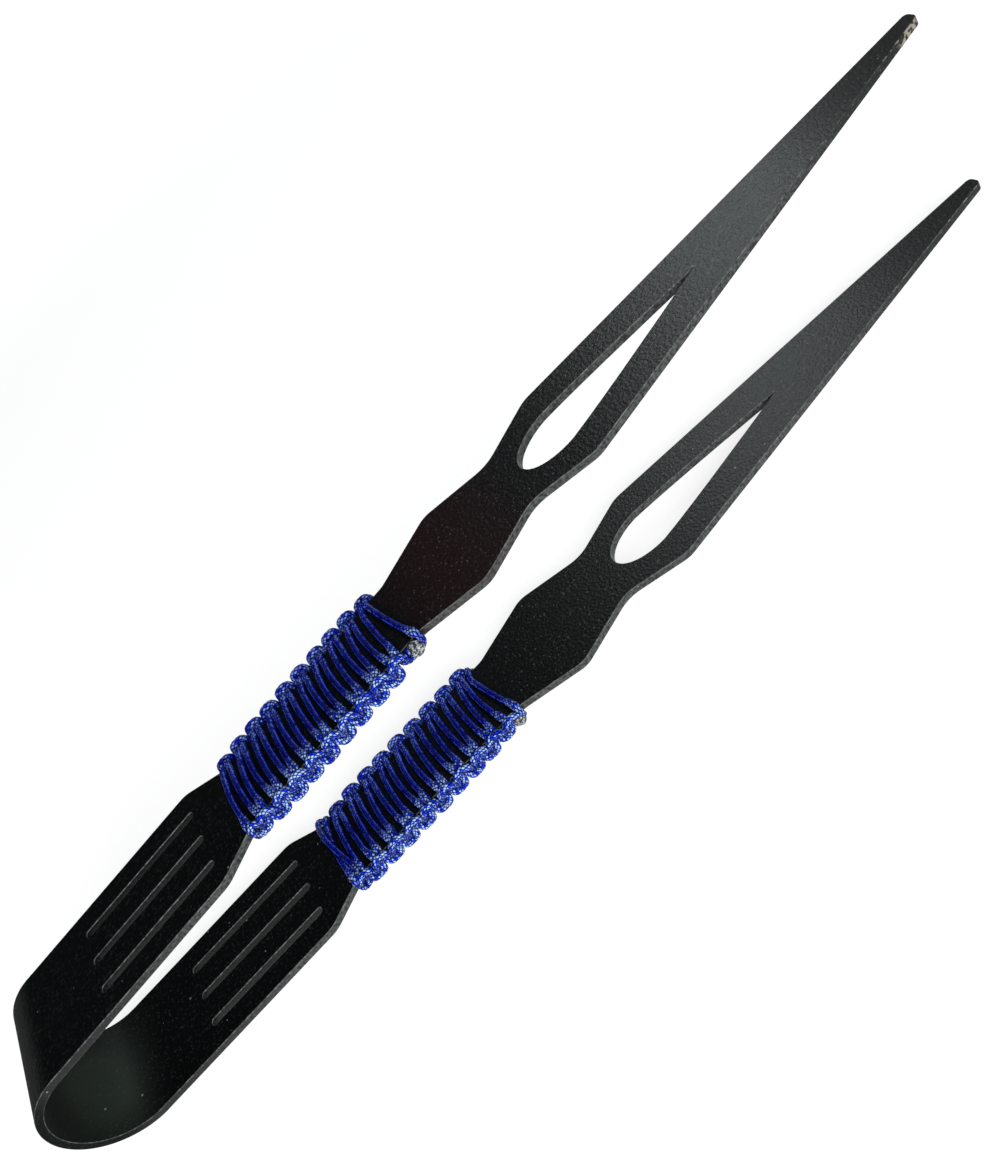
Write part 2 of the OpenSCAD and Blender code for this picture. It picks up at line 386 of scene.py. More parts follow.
def smooth_rims(piece):
    """Smooth rims beside flat faces: the large faces set the normals, so they stay flat to the eye."""
    bpy.ops.object.shade_smooth_by_angle(angle=SMOOTH_WITHIN)
    even = piece.modifiers.new("even", "WEIGHTED_NORMAL")
    even.weight, even.keep_sharp = FLAT_WEIGHT, True
    bpy.ops.object.modifier_apply(modifier="even")


print("the arms stand", round(math.degrees(OPEN), 2), "degrees apart")

# %% [markdown]
# Marks for the coat
#
# The coat looks different on faces, cut walls and rims. A face of the mesh is told apart by how squarely it
# looks through the sheet: a face of the strip fully, a cut wall not at all, and a rim something between.

# %% Marks of the faces
FACE_SHARE, RIM_SHARE = 0.98, 0.1
SLOTS_FROM, SLOTS_TO, SLOTS_HALF = 20 * MM, 90 * MM, 15 * MM


def mark_of(face, share):
    """The mark of a face that looks through the sheet by a share of 0 to 1. A seam counts as a face."""
    middle = face.center
    if share > FACE_SHARE or min(abs(middle.dot(axis)) for axis in ARM_AXIS.values()) < SEAM:
        return FACE_MARK
    if share >= RIM_SHARE:
        return RIM_MARK
    in_slot = SLOTS_FROM < middle.x < SLOTS_TO and abs(middle.y) < SLOTS_HALF
    # Slot walls get the mark for painted shade in the slot.
    return SHADED_SLOT_MARK if in_slot else WALL_MARK


def note_cut(piece, shares):
    """Leaves the marks of all faces on the mesh, and counts the faces by mark."""
    marks = [mark_of(face, share) for face, share in zip(piece.data.polygons, shares)]
    piece.data.attributes.new("cut", "FLOAT", "FACE").data.foreach_set("value", marks)
    return {mark: marks.count(mark) for mark in sorted(set(marks))}


print("marks in use:", (FACE_MARK, SHADED_SLOT_MARK, WALL_MARK, RIM_MARK))

# %% [markdown]
# Rounding the rims
#
# A bevel of every sharp edge would also round the outline's corners and the seam. The edges are chosen in
# code instead: sharp, not along the seam, and not upright in a cut wall.

# %% Arms
SHARP, UPRIGHT = 0.8, 0.9


def round_rims(piece, axis, through):
    """Bevels the edges between the faces and the cut walls, and counts them."""
    mesh = piece.data
    normals = {}
    for face in mesh.polygons:
        for key in face.edge_keys:
            normals.setdefault(key, []).append(face.normal)
    for edge in mesh.edges:
        ends = [mesh.vertices[i].co for i in edge.vertices]
        pair = normals[edge.key]
        seam = max(abs(end.dot(axis)) for end in ends) < SEAM
        upright = abs((ends[1] - ends[0]).normalized().dot(through)) > UPRIGHT
        edge.select = len(pair) == 2 and pair[0].angle(pair[1]) > SHARP and not seam and not upright
    chosen = sum(edge.select for edge in mesh.edges)
    bpy.ops.object.mode_set(mode="EDIT")
    bpy.ops.mesh.bevel(offset=ROUND, segments=ROUND_STEPS, profile=0.5, miter_outer="ARC", affect="EDGES")
    bpy.ops.object.mode_set(mode="OBJECT")
    return chosen


scene.tool_settings.mesh_select_mode = (False, True, False)
for side, axis in ARM_AXIS.items():
    through = axis.cross(Vector((0, 1, 0)))
    arm = copy_of(f"{side}_arm", f"{side}_strip_arm")
    edges = round_rims(arm, axis, through)
    counts = note_cut(arm, [abs(face.normal.dot(through)) for face in arm.data.polygons])
    smooth_rims(arm)
    arm.data.materials.append(coat.material)
    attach(arm, f"{side}_side")
    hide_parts(f"{side}_arm")
    print(arm.name, edges, "edges rounded, faces by mark:", counts)

# %% [markdown]
# The bow
#
# The middle of the strip is bent round a bar. A bend of even radius is a section turned about an axis, so a
# rectangle the size of the strip's section gets the same rounded corners as the arms and is spun about the
# bow's axis.

# %% Bow
STRIP_WIDTH, SHEET, BOW_RADIUS, BOW_STEPS = 44 * MM, 3 * MM, 22.5 * MM, 110
bpy.ops.object.select_all(action="DESELECT")
bpy.ops.mesh.primitive_plane_add(size=1, location=(0, 0, -BOW_RADIUS), rotation=(0, math.pi / 2, 0))
bow = bpy.context.object
bow.name = "spring_bow_strip"
bow.scale = (SHEET, STRIP_WIDTH, 1)
bpy.ops.object.transform_apply(location=True, rotation=True, scale=True)
bpy.ops.object.mode_set(mode="EDIT")
bpy.ops.mesh.select_all(action="SELECT")
bpy.ops.mesh.bevel(offset=ROUND, offset_type="WIDTH", segments=ROUND_STEPS, profile=0.5, affect="VERTICES")
bpy.ops.mesh.select_all(action="SELECT")
bpy.ops.mesh.spin(steps=BOW_STEPS, angle=OPEN - math.pi, center=(0, 0, 0), axis=(0, 1, 0))
bpy.ops.mesh.select_all(action="SELECT")
bpy.ops.mesh.remove_doubles(threshold=MERGE)
bpy.ops.mesh.normals_make_consistent(inside=False)
bpy.ops.object.mode_set(mode="OBJECT")
outward = [Vector((face.center.x, 0, face.center.z)).normalized() for face in bow.data.polygons]
counts = note_cut(bow, [abs(face.normal.dot(out)) for face, out in zip(bow.data.polygons, outward)])
smooth_rims(bow)
bow.data.materials.append(coat.material)
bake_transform(bow)
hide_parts("spring_bow")
lowest = min(vertex.co.x for vertex in bow.data.vertices)
print(bow.name, "reaches x", round(lowest / MM, 2), "mm, faces by mark:", counts)

# %% [markdown]
# The grip cord's route
#
# Each grip is one cord, tied round the arm as a row of square knots. One half always crosses the one face
# and the other half the other face. At the edges they hook into each other: each half makes an arch over
# two strands of the other half, then dives below the other's next arch.
# A point of the route is written by where it is round an edge: how far along the arm, how far around from
# the middle of the cut wall, and how far off the metal. That way one knot serves both edges of both arms.

# %% Route round an edge
GRIP_HALF, SHEET_HALF, CORNER = 14.5, 1.5, 2.2
WAIST_FROM, WAIST_TO, HANDLE_SLOPE, GUARD_SLOPE = 100.4, 179.8, 0.436, 0.293
SAG, KNOT_HALF, KNOT_FADE = 1.2, 2.4, 2.4


def share_of(value):
    """The value, held between 0 and 1."""
    return min(1.0, max(0.0, value))


def half_width(where):
    """Half the strip's width at a place along the waist or on the slopes beside it."""
    before, beyond = max(0.0, WAIST_FROM - where), max(0.0, where - WAIST_TO)
    return GRIP_HALF + before * HANDLE_SLOPE + beyond * GUARD_SLOPE


def sag(aside):
    """How far the strands hang towards the bow at a distance from the arm's middle: most in the middle."""
    return -SAG * max(0.0, 1 - (aside / GRIP_HALF) ** 2)


def round_edge(edge, where, around, off):
    """A point's place, outward direction and share of knot, at the near (-1) or the far (1) edge."""
    up, past_wall, quarter = (1 if around > 0 else -1), abs(around) - SHEET_HALF, CORNER * math.pi / 2
    if past_wall <= 0:
        place, out = (half_width(where) + off, abs(around)), (1, 0)
    elif past_wall <= quarter:
        out = (math.cos(past_wall / CORNER), math.sin(past_wall / CORNER))
        place = (half_width(where) + off * out[0], SHEET_HALF + off * out[1])
    else:
        place, out = (half_width(where) - past_wall + quarter, SHEET_HALF + off), (0, 1)
        where += sag(place[0])
    knot = 1 - share_of((abs(around) - KNOT_HALF) / KNOT_FADE)
    return Vector((where, edge * place[0], up * place[1])), Vector((0, edge * out[0], up * out[1])), knot


def at_edge(edge, where, points):
    """Points at an edge from a list of steps along the arm, distances around and heights off the metal."""
    return [round_edge(edge, where + step, around, off) for step, around, off in points]


print("the waist is", 2 * half_width(WAIST_FROM), "mm wide")

# %% [markdown]
# Arches and strands
#
# An arch's steps along the arm are shares of the knots' pitch. Half of it is listed, and the other half is
# its mirror image. A wrap tied by hand is never quite even, so each arch and strand sways by a small fixed
# amount: a formula does for that, and gives the same wrap every time.

# %% Arches and strands
LIE = 1.15
HALF_ARCH = [
    (0.29, -9.5, LIE), (0.33, -7.0, LIE), (0.36, -5.0, LIE), (0.375, -3.4, LIE), (0.375, -2.0, LIE),
    (0.375, -0.6, 1.2), (0.36, 0.9, 1.55), (0.26, 2.2, 2.0), (0.13, 2.7, 2.15)]
ARCH = [(-step, around, off) for step, around, off in HALF_ARCH] + [(0.0, 2.8, 2.2)] + HALF_ARCH[::-1]
FULLER = 1.35
UNEVEN_REACH, UNEVEN_PLACE, UNEVEN_STRAND, OTHER_SWAY = 0.1, 0.25, 0.3, 0.37
SWAY_FAST, SWAY_START, SWAY_SLOW = 12.99, 1.3, 7.23
STRAND_SHARES, RISE_AT, RISE_SPREAD = (0.2, 0.4, 0.6, 0.8), 0.69, 0.34


def sway(number, size):
    """A small fixed offset, different for each number."""
    return size * math.sin(SWAY_FAST * number + SWAY_START) * math.cos(SWAY_SLOW * number)


def arch(edge, middle, face, number, width, reach, full):
    """One half's arch at an edge, over the strands that come from the face (1 upper, -1 lower)."""
    length = FULLER if full else 1
    reach, shift = (reach + sway(number, UNEVEN_REACH)) * length**2, sway(number + OTHER_SWAY, UNEVEN_PLACE)
    points = []
    for step, around, off in ARCH:
        around *= length if around > 0 else 1
        where = middle + width * step + shift
        points.append(round_edge(edge, where, face * around, LIE + reach * (off - LIE)))
    return points


def over_face(before, after, face, number, rise):
    """Points of a strand between two edges, on one face. A rise lifts it over a strand that it crosses."""
    points = []
    for share in STRAND_SHARES:
        point = before.lerp(after, share)
        lift = rise * math.exp(-((share - RISE_AT) / RISE_SPREAD) ** 2)
        hang = sag(point.y) - sag(before.y) * (1 - share) - sag(after.y) * share
        hang += sway(number, UNEVEN_STRAND) * math.sin(math.pi * share)
        place = Vector((point.x + hang, point.y, face * (SHEET_HALF + LIE + lift)))
        points.append((place, Vector((0, 0, face)), 0.0))
    return points


def lay(route, turn, face, number, rise=0.0):
    """Carries the route over a face to its next turn, and round it."""
    route += over_face(route[-1][0], turn[0][0], face, number, rise) + turn


print("an arch has", len(ARCH), "points")

# %% [markdown]
# The whole cord
#
# The cord starts at the guard, tucked in at the far edge. Its upper half runs to the bow, turns back round
# the far edge, and its lower half returns to the guard, where it ends at the near edge. The two grips
# differ a little in pitch and at their ends, as in the photograph, so these are values of each grip.

# %% Route of one grip
KNOTS = 10
GRIPS = {
    "lower": {"first": 97.6, "pitch": 8.05, "last_turn": 174.1, "stretch": 1.0, "low_reach": 1.0,
              "end_at": 178.6, "tuck": 1, "outside": -1},
    "upper": {"first": 98.0, "pitch": 7.75, "last_turn": 173.9, "stretch": 1.6, "low_reach": 0.2,
              "end_at": 173.4, "tuck": 0, "outside": 1},
}
START_AFTER = 0.9
START_TUCK = [(0.0, 0.2, 1.3), (0.0, 1.2, 1.2), (0.0, 2.4, LIE), (0.0, 4.4, LIE), (0.0, 6.4, LIE)]
TURN_BACK = [
    (-1.5, 6.4, LIE), (-1.4, 4.6, LIE), (-1.2, 3.0, 1.45), (-1.0, 0.0, 1.6), (-1.2, -3.0, 1.45),
    (-1.5, -4.6, LIE), (-1.7, -6.4, LIE)]
CROSSING, CROSSING_RISE, CROSSING_DROPS = [(-4.5, -6.4, 1.9), (-4.2, -4.6, 1.6), (-3.6, -3.0, 1.6)], 2.1, 4
END_TUCK = [
    (0.0, -6.4, LIE), (0.0, -4.6, LIE), (0.0, -3.0, 1.45), (0.0, -1.2, 1.6), (0.0, 0.4, 1.7),
    (0.0, 1.6, 1.8)]
FIRST_SHIFT, FIRST_WIDTH, FIRST_REACH = 2.4, 0.6, 0.7
TUCK_SHIFT, TUCK_WIDTH = 1.5, 0.4
TURN_BACK_SWAY, LOWER_ARCH_SWAY, LOWER_STRAND_SWAY, END_SWAY = 40, 50, 80, 120


def lay_upper_half(route, near, far, grip):
    """From the guard to the bow, over the upper face. Its arches reach over the lower half's strands."""
    pitch = grip["pitch"]
    turns = [(-1, grip["last_turn"], grip["stretch"] * pitch, grip["low_reach"])]
    for k in reversed(range(KNOTS - 1)):
        turns += [(1, far[k] + pitch / 2, pitch, 1.0), (-1, near[k] + pitch / 2, pitch, 1.0)]
    for number, (edge, middle, width, reach) in enumerate(turns):
        full = edge * grip["outside"] < 0 and 0 < number < len(turns) - 2
        lay(route, arch(edge, middle, -1, number, width, reach, full)[::-1], 1, number)


def lay_lower_half(route, near, far, grip):
    """From the bow back to the guard, over the lower face. Its second strand crosses over its first."""
    tuck, last = grip["tuck"], 2 * KNOTS - 1
    for number in range(2 * KNOTS):
        edge, middle = (1, far[number // 2]) if number % 2 else (-1, near[number // 2])
        width, reach, rise = grip["pitch"], 1.0, 0.0
        if number == 0:
            middle, width, reach = middle + FIRST_SHIFT, width * FIRST_WIDTH, FIRST_REACH
        elif number == last:
            middle, width = middle - TUCK_SHIFT * tuck, width * (1 - TUCK_WIDTH * tuck)
        full = edge * grip["outside"] > 0 and 1 < number < last - tuck
        turn = arch(edge, middle, 1, LOWER_ARCH_SWAY + number, width, reach, full)
        if number == 1:
            turn[:CROSSING_DROPS], rise = at_edge(1, far[0], CROSSING), CROSSING_RISE
        lay(route, turn, -1, LOWER_STRAND_SWAY + number, rise)


def grip_route(grip):
    """The whole cord in order, from its start at the far edge to its end at the near edge."""
    near = [grip["first"] + grip["pitch"] * k for k in range(KNOTS)]
    far = [place + grip["pitch"] / 2 for place in near]
    route = at_edge(1, far[-1] + START_AFTER, START_TUCK)
    lay_upper_half(route, near, far, grip)
    lay(route, at_edge(1, far[0], TURN_BACK), 1, TURN_BACK_SWAY)
    lay_lower_half(route, near, far, grip)
    lay(route, at_edge(-1, grip["end_at"], END_TUCK), -1, END_SWAY)
    return route


ROUTES = {side: grip_route(grip) for side, grip in GRIPS.items()}
print("points of each route:", {side: len(route) for side, route in ROUTES.items()})

# %% [markdown]
# A smooth, evenly spaced line
#
# The points are close together at the edges and far apart on the faces. A curve through them whose slope at
# each point comes from its neighbours, by distance, doesn't swing out, and it is then cut into equal steps.

# %% Even steps
STEP, FINE_STEP, LEAST_GAP = 0.46, 0.1, 1e-6


def slopes_at(places, gaps):
    """The direction of the curve at each place: between its neighbours, and more towards the closer one."""
    straight = [(after - before) / gap for before, after, gap in zip(places, places[1:], gaps)]
    slopes = [straight[0]]
    for i in range(1, len(gaps)):
        slopes.append((straight[i - 1] * gaps[i] + straight[i] * gaps[i - 1]) / (gaps[i] + gaps[i - 1]))
    return slopes + [straight[-1]]


def fine_curve(points):
    """Close points on a smooth curve through the route's points."""
    places = [point[0] for point in points]
    gaps = [max(LEAST_GAP, (after - before).length) for before, after in zip(places, places[1:])]
    slopes = slopes_at(places, gaps)
    fine = []
    for i, gap in enumerate(gaps):
        (start, out, knot), (end, next_out, next_knot) = points[i], points[i + 1]
        count = max(2, int(gap / FINE_STEP))
        for j in range(count):
            u = j / count
            from_start, to_end = 2 * u**3 - 3 * u**2 + 1, 3 * u**2 - 2 * u**3
            leaving, arriving = (u**3 - 2 * u**2 + u) * gap, (u**3 - u**2) * gap
            place = start * from_start + slopes[i] * leaving + end * to_end + slopes[i + 1] * arriving
            fine.append((place, out.lerp(next_out, u), knot * (1 - u) + next_knot * u))
    return fine + [points[-1]]


def even_steps(fine):
    """The points of a fine curve that lie a step apart."""
    steps, run, goal = [fine[0]], 0.0, STEP
    for before, after in zip(fine, fine[1:]):
        run += (after[0] - before[0]).length
        if run >= goal:
            steps.append(after)
            goal += STEP
    return steps


LINES = {side: even_steps(fine_curve(route)) for side, route in ROUTES.items()}
print("cord lengths:", {side: round(STEP * len(line)) for side, line in LINES.items()}, "mm")

# %% [markdown]
# The braid
#
# A braided cord is round, with small diamonds where its strands cross over each other. Two slanting counts
# go up by one from diamond to diamond, so their sines give every diamond a rounded top and a crease round
# it. The tube's points stand out by that much, as real relief, which a curve with a round bevel can't have.
# On the faces the cord is pressed a little flat, and it spreads towards the near edge, where the strands
# lie in bundles. In the knots it stands taller. Round the edges its threads get a painted sheen, stronger
# there than on the faces. Where two strands touch, the points that lie close to both get painted shade, as
# in a crease.

# %% The cord's section
SIDES, AROUND, DIAMOND, RELIEF, RELIEF_LEVEL = 24, 6, 1.5, 0.17, 0.6
ON_FACE, IN_KNOT, SPREAD = (1.16, 1.08), (1.16, 1.25), 0.35
NEAR_FROM, NEAR_OVER, FAR_FROM, FAR_OVER = 6.2, 5, 2, 22
OFF_WALL, LEAST_OFF_WALL, LEAST_ON_WALL, LIFT_FROM = 2.2, 0.95, 0.4, 0.8
OWN_RUN, CREASE_FLOOR, CREASE_REACH_FACE, CREASE_REACH_KNOT = 3.7, 1.1, 1.62, 1.9


def relief(turn, run):
    """How far the braid stands out at a count of diamonds round the cord and along it."""
    slanting = math.sin(math.pi * (turn + run)) * math.sin(math.pi * (turn - run))
    return RELIEF * (math.sqrt(abs(slanting)) - RELIEF_LEVEL)


def section(place, knot):
    """Half the cord's width and height at a place, and how much painted sheen its threads get there."""
    near_share = share_of((-place.y - GRIP_HALF + NEAR_FROM) / NEAR_OVER)
    far_share = share_of((place.y - FAR_FROM) / FAR_OVER)
    wide, tall = (on_face + (in_knot - on_face) * knot for on_face, in_knot in zip(ON_FACE, IN_KNOT))
    wide += SPREAD * near_share * (1 - knot)
    lift = math.hypot(max(0.0, abs(place.y) - GRIP_HALF), max(0.0, abs(place.z) - SHEET_HALF))
    least = LEAST_OFF_WALL if abs(place.z) > OFF_WALL else LEAST_ON_WALL
    # The share of painted sheen: towards the near and far edges, more where the cord stands off the metal.
    return wide, tall, max(near_share, far_share) * min(1.0, max(least, lift - LIFT_FROM))


def crease_shade_at(strands, point, number, knot):
    """How much painted shade a point of one step gets from lying close to another strand, from 0 to 1."""
    reach = CREASE_REACH_FACE + (CREASE_REACH_KNOT - CREASE_REACH_FACE) * knot
    near_by = [gap for _, k, gap in strands.find_range(point, reach) if abs(k - number) * STEP > OWN_RUN]
    return min(1.0, (reach - min(near_by, default=reach)) / (reach - CREASE_FLOOR))


print("a cord has", AROUND, "diamonds round it, and one every", DIAMOND, "mm along it")

# %% [markdown]
# The braided tube
#
# The rings of points along the line are joined into one closed tube with a cap at each end. Its UV map
# holds the counts of diamonds round the cord and along it, so that the finish knows each diamond.


# %% Braided tube
def tube_faces(last):
    """The faces of a capped tube of rings 0 to last, and the side and the ring of each of their corners."""
    faces, corners = [], []
    for j in range(last):
        for i in range(SIDES):
            k = (i + 1) % SIDES
            faces.append((j * SIDES + i, j * SIDES + k, (j + 1) * SIDES + k, (j + 1) * SIDES + i))
            corners += [(i, j), (i + 1, j), (i + 1, j + 1), (i, j + 1)]
    faces.append(tuple(reversed(range(SIDES))))
    faces.append(tuple(last * SIDES + i for i in range(SIDES)))
    return faces, corners + [(0, 0)] * SIDES + [(0, last)] * SIDES


def ring(line, number, strands):
    """One step's ring of points round the cord, their painted sheen and their painted crease shade."""
    place, out, knot = line[number]
    ahead = (line[min(number + 1, len(line) - 1)][0] - line[max(number - 1, 0)][0]).normalized()
    rise = (out - ahead * out.dot(ahead)).normalized()
    aside = ahead.cross(rise)
    wide, tall, sheen_level = section(place, knot)
    points = []
    for i in range(SIDES):
        angle, stand = 2 * math.pi * i / SIDES, relief(AROUND * i / SIDES, number * STEP / DIAMOND)
        up_by, aside_by = (tall + stand) * math.cos(angle), (wide + stand) * math.sin(angle)
        points.append(place + rise * up_by + aside * aside_by)
    return points, [sheen_level] * SIDES, [crease_shade_at(strands, point, number, knot) for point in points]


def braided_tube(name, line, to_world):
    """A closed tube along the line, with braid relief and a UV map that counts the diamonds."""
    strands = kdtree.KDTree(len(line))
    for number, (place, _, _) in enumerate(line):
        strands.insert(place, number)
    strands.balance()
    rings = [ring(line, number, strands) for number in range(len(line))]
    points, sheen_levels, crease_shades = ([value for part in parts for value in part] for parts in zip(*rings))
    faces, corners = tube_faces(len(line) - 1)
    mesh = bpy.data.meshes.new(name)
    mesh.from_pydata([to_world @ (point * MM) for point in points], [], faces)
    counts = [(AROUND * i / SIDES, j * STEP / DIAMOND) for i, j in corners]
    uv_map = mesh.uv_layers.new(name="braid")
    uv_map.data.foreach_set("uv", [value for count in counts for value in count])
    mesh.attributes.new("sheen_share", "FLOAT", "POINT").data.foreach_set("value", sheen_levels)
    mesh.attributes.new("crease_shade", "FLOAT", "POINT").data.foreach_set("value", crease_shades)
    piece = bpy.data.objects.new(name, mesh)
    scene.collection.objects.link(piece)
    only(piece)
    bpy.ops.object.mode_set(mode="EDIT")
    bpy.ops.mesh.select_all(action="SELECT")
    bpy.ops.mesh.normals_make_consistent(inside=False)
    bpy.ops.object.mode_set(mode="OBJECT")
    bpy.ops.object.shade_smooth()
    return piece


print("rings of each cord:", {side: len(line) for side, line in LINES.items()})

# %% [markdown]
# The cord's finish
#
# Nylon braid is deep blue. Its creases, the hollows between the diamonds and the flanks that face the metal
# get painted shade, nearly black, and single threads get painted highlights as pale dashes. The UV map gives
# the diamond that a point lies in, and the threads run one way in every other diamond, as the strands pass
# over and under. On the faces a painted highlight runs as a row of bright threads along each shoulder of
# the cord. Round the edges a painted sheen makes the blue paler and brightens more threads.

# %% Cord finish
KEEP_POSITIVE, THREADS = 4000, 3
FLANK, SHOULDER, SHOULDER_EDGE = (1.3, 0.9), 2.3, (0.03, 0.17)
SHADE_BLUE = (0.0003, 0.0005, 0.016)
PLAIN_ON_FACE, PLAIN_WITH_SHEEN = (0.0008, 0.0018, 0.20), (0.006, 0.030, 0.62)
HIGHLIGHT_ON_FACE, HIGHLIGHT_AT_EDGES = (0.05, 0.12, 0.95), (0.48, 0.71, 1.0)
braid = Finish("blue_braid")
uv = braid.node("ShaderNodeUVMap", {"uv_map": "braid"})
turn, run = braid.part(uv, 0), braid.part(uv, 1)
rising, falling = turn + run, turn - run + KEEP_POSITIVE
in_rising, in_falling = rising.maths("FRACT"), falling.maths("FRACT")
rising_count, falling_count = rising.maths("FLOOR"), falling.maths("FLOOR")
from_rising, from_falling = (part.maths("MINIMUM", 1 - part) for part in (in_rising, in_falling))
crown = from_rising.maths("MINIMUM", from_falling).over(0.04, 0.3)
other_way = (rising_count + falling_count) % 2
thread_at = in_rising * other_way + in_falling * (1 - other_way)
thread = (thread_at * (2 * math.pi * THREADS)).maths("SINE") * 0.5 + 0.5
diamond = braid.node("ShaderNodeCombineXYZ", None, {0: rising_count, 1: falling_count})
chance = braid.node("ShaderNodeTexWhiteNoise", {"noise_dimensions": "2D"}, {"Vector": diamond}, out="Value")
painted_sheen, crease_shade = braid.attribute("sheen_share"), braid.attribute("crease_shade")
# Painted highlights: pale dashes on single threads, more of them where the painted sheen is.
picked = (chance + painted_sheen * 0.15).over(0.45, 0.3)
painted_glint = crown * picked * thread.span(0.4, 1.0) * painted_sheen.span(0.25, 1.0)
from_below = abs(turn - AROUND / 2)
# Painted shade on the flanks that face the metal, except where the painted sheen is.
flank_shade = (1 - from_below.over(*FLANK)) * (1 - painted_sheen)
# Painted highlight: a line of bright threads along each shoulder.
shoulder_highlight = (1 - abs(from_below - SHOULDER).over(*SHOULDER_EDGE)) * thread.span(0.35, 1.0) * (1 - painted_sheen)
painted_glint = painted_glint.maths("MAXIMUM", shoulder_highlight * chance.over(0.15, 0.3))
# Painted shade in the hollows between diamonds. The painted sheen makes the plain blue paler round the
# edges.
blue = braid.mix(crown, SHADE_BLUE, braid.mix(painted_sheen, PLAIN_ON_FACE, PLAIN_WITH_SHEEN))
highlit = braid.mix(painted_glint, blue, braid.mix(painted_sheen, HIGHLIGHT_ON_FACE, HIGHLIGHT_AT_EDGES))
braid.shade(
    # Painted shade: where strands touch, and on the flanks that face the metal, the cord goes nearly black.
    Base_Color=braid.mix((crease_shade * 0.92).maths("MAXIMUM", flank_shade * 0.8), highlit, SHADE_BLUE),
    Roughness=0.46 - thread * 0.12,
    Normal=braid.bump(crown * 0.5 + thread * 0.5, 0.12 * MM, 0.6),
    Specular_IOR_Level=0.1,
)
print("braid has", len(braid.tree.nodes), "nodes")

# %% [markdown]
# The two grips
#
# Both grips are tied alike, but the lower one shows its other face, so its route is mirrored through the
# sheet. The route is written from the arm's own middle, so one matrix carries it to its arm.

# %% Grips
ON_ARM = {
    "lower": Matrix.Translation((0, 0, -BOW_RADIUS)) @ Matrix.Diagonal((1, 1, -1, 1)),
    "upper": Matrix.Rotation(-OPEN, 4, "Y") @ Matrix.Translation((0, 0, BOW_RADIUS)),
}
for side, to_world in ON_ARM.items():
    cord = braided_tube(f"{side}_braided_cord", LINES[side], to_world)
    cord.data.materials.append(braid.material)
    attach(cord, f"{side}_side")
    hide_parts(f"{side}_grip_cord")
    print(cord.name, len(cord.data.polygons), "faces")

# %% [markdown]
# The melted ends
#
# The cord's ends are cut and melted with a flame, which leaves a hard grey lump with pits. A lump could be
# sculpted, but a ball that is squeezed to size and roughened with a texture of cells does as well. It is
# set on the end of the route. The ends at the near edges are the large ones.

# %% Melted end finish
PIT_GREY, MELT_GREY = (0.015, 0.018, 0.022), (0.34, 0.35, 0.36)
melt = Finish("melted_cord")
pits = melt.noise(melt.place(), 0.9 * MM, 4.0)
melt.shade(
    Base_Color=melt.mix(pits.over(0.43, 0.2), PIT_GREY, MELT_GREY),
    Roughness=0.36,
    Normal=melt.bump(pits, 0.3 * MM, 0.7),
)
print("melted ends have", len(melt.tree.nodes), "nodes")

# %% Melted ends
SMALL_END, LUMP_DEPTH = (1.2, 1.1, 1.3), 0.8 * MM
ENDS = {
    "lower": {
        "near": (Vector((176.4, -16.2, 1.4)), (2.3, 1.7, 2.6)),
        "far": (Vector((175.0, 15.8, 0.2)), SMALL_END),
    },
    "upper": {
        "near": (Vector((175.2, -16.9, -0.3)), (2.6, 2.0, 2.8)),
        "far": (Vector((172.5, 15.8, 0.0)), SMALL_END),
    },
}
lumpy = bpy.data.textures.new("lumpy", "VORONOI")
lumpy.noise_scale = 1.3 * MM
for side, to_world in ON_ARM.items():
    for edge, (middle, size) in ENDS[side].items():
        bpy.ops.object.select_all(action="DESELECT")
        bpy.ops.mesh.primitive_ico_sphere_add(subdivisions=5, radius=MM, location=to_world @ (middle * MM))
        lump = bpy.context.object
        lump.name = f"{side}_melted_end_{edge}"
        lump.scale = size
        bpy.ops.object.transform_apply(location=True, rotation=True, scale=True)
        rough = lump.modifiers.new("rough", "DISPLACE")
        rough.texture, rough.texture_coords = lumpy, "LOCAL"
        rough.strength, rough.mid_level = LUMP_DEPTH, 0.5
        bpy.ops.object.modifier_apply(modifier="rough")
        bpy.ops.object.shade_smooth()
        lump.data.materials.append(melt.material)
        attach(lump, f"{side}_side")
        print(lump.name, [round(v / MM, 1) for v in lump.dimensions], "mm")

# %% [markdown]
# The table
#
# The photograph has a white background, as in a catalogue. More light would bleach the object, so the table
# glows white to the camera and in reflections only, and the grey under the glow takes the object's shadow.
# Far from the tongs the lamps add little, so there it glows more and stays white to its edge.

# %% Table
TABLE_SIZE, TABLE_MIDDLE, TABLE_GAP, FAR_OFF = 14, 0.2, 0.2 * MM, (0.6, 0.6)
TABLE_GREY, NEAR_WHITE = (0.3, 0.3, 0.3), (0.83, 0.83, 0.83)
WHITE, NO_GLOW = (1.0, 1.0, 1.0), (0.0, 0.0, 0.0)
floor_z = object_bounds()[0][2] - TABLE_GAP
bpy.ops.object.select_all(action="DESELECT")
bpy.ops.mesh.primitive_plane_add(size=TABLE_SIZE, location=(TABLE_MIDDLE, 0, floor_z))
floor = bpy.context.object
floor.name = "white_table"
table = Finish("white_table")
table.shade(Base_Color=opaque(TABLE_GREY), Roughness=0.9, Specular_IOR_Level=0.0)
seen = table.node("ShaderNodeLightPath", out="Is Camera Ray")
for kind in ("Is Glossy Ray", "Is Transmission Ray"):
    seen = seen.maths("MAXIMUM", table.node("ShaderNodeLightPath", out=kind))
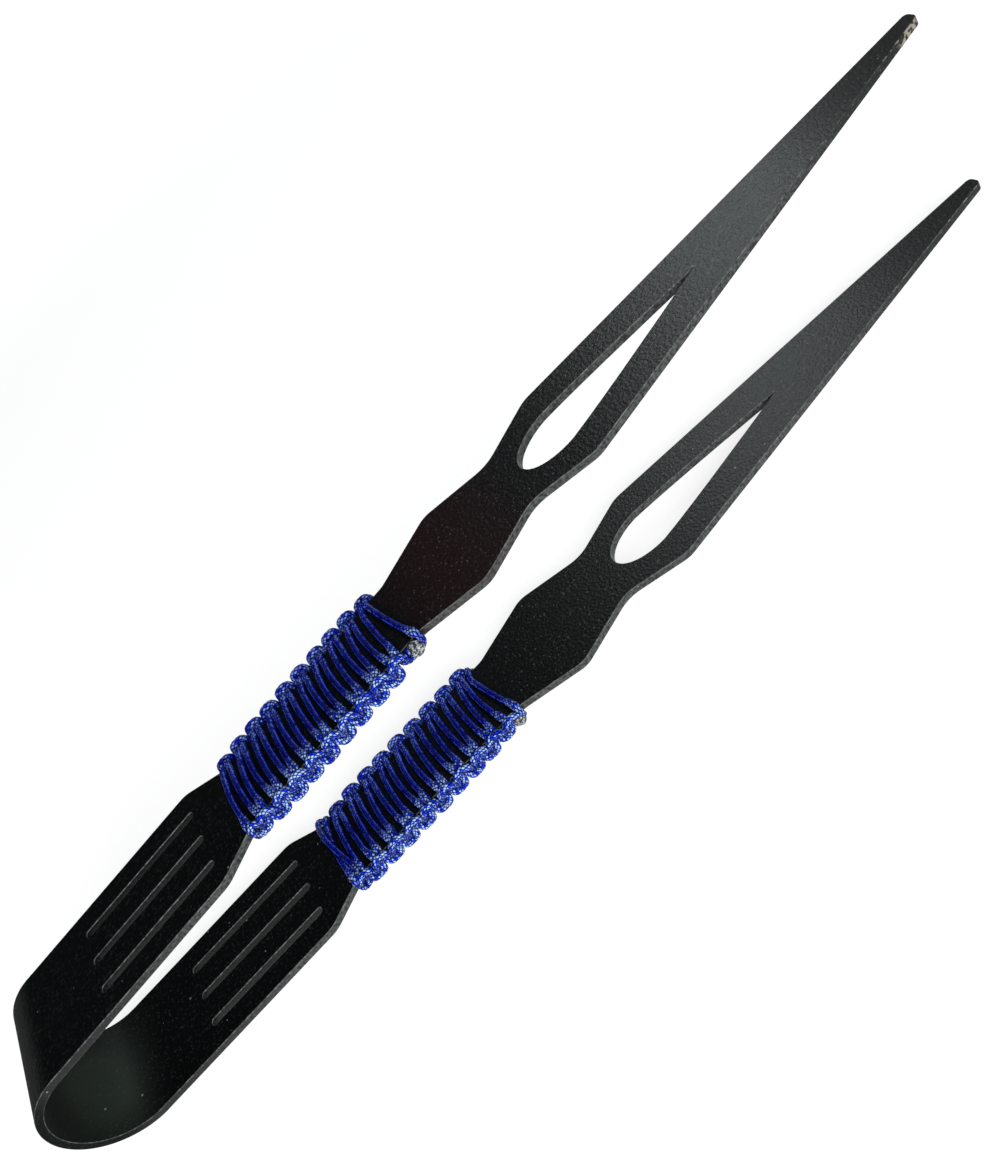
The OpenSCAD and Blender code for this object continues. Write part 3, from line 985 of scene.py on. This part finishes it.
from_middle = table.node("ShaderNodeVectorMath", {"operation": "LENGTH"}, {0: table.place()}, out="Value")
glow = table.mix(from_middle.over(*FAR_OFF), NEAR_WHITE, WHITE)
table.shade(Emission_Color=table.mix(seen, NO_GLOW, glow), Emission_Strength=1.0)
floor.data.materials.append(table.material)
print("table at", round(floor_z / MM, 2), "mm")

# %% [markdown]
# The light
#
# A soft light beyond the tips is what the blades reflect. A broad one from the near side lights the cut
# walls and the knots, and is hidden from reflections, which it would bleach. The room is dim, so the
# handles, which reflect it, look black, but the camera sees it white.


# %% Lights
def soft_light(name, place, target, size, power, colour):
    """A flat, four-sided light that faces a target."""
    bpy.ops.object.light_add(type="AREA", location=place)
    light = bpy.context.object
    light.name = name
    light.data.shape, (light.data.size, light.data.size_y) = "RECTANGLE", size
    light.data.energy, light.data.color = power, colour
    light.rotation_euler = (Vector(target) - Vector(place)).to_track_quat("-Z", "Y").to_euler()
    print(name, power, "W")
    return light


WINDOW_BLUE = (0.93, 1.0, 1.0)
soft_light("window_beyond_tips", place=(0.78, 1.11, 1.07), target=(0.33, 0, 0), size=(0.4, 0.4),
           power=5.6, colour=WINDOW_BLUE)
near_side = soft_light("near_side", place=(0.2, -1.2, 0.48), target=(0.2, 0, 0), size=(1.6, 0.9),
                       power=39, colour=WHITE)
near_side.visible_glossy = False

# %% Room
DIM = (0.027, 0.0285, 0.03)
world = bpy.data.worlds.new("dim_room")
world.use_nodes = True
room = world.node_tree
to_camera = room.nodes.new("ShaderNodeLightPath").outputs["Is Camera Ray"]
dim_or_white = room.nodes.new("ShaderNodeMix")
dim_or_white.data_type = "RGBA"
dim_or_white.inputs[FIRST_COLOUR].default_value = opaque(DIM)
dim_or_white.inputs[SECOND_COLOUR].default_value = opaque(WHITE)
room.links.new(to_camera, dim_or_white.inputs["Factor"])
room.links.new(dim_or_white.outputs[MIXED_COLOUR], room.nodes["Background"].inputs["Color"])
room.nodes["Background"].inputs["Strength"].default_value = 1.0
scene.world = world
print("room:", world.name)
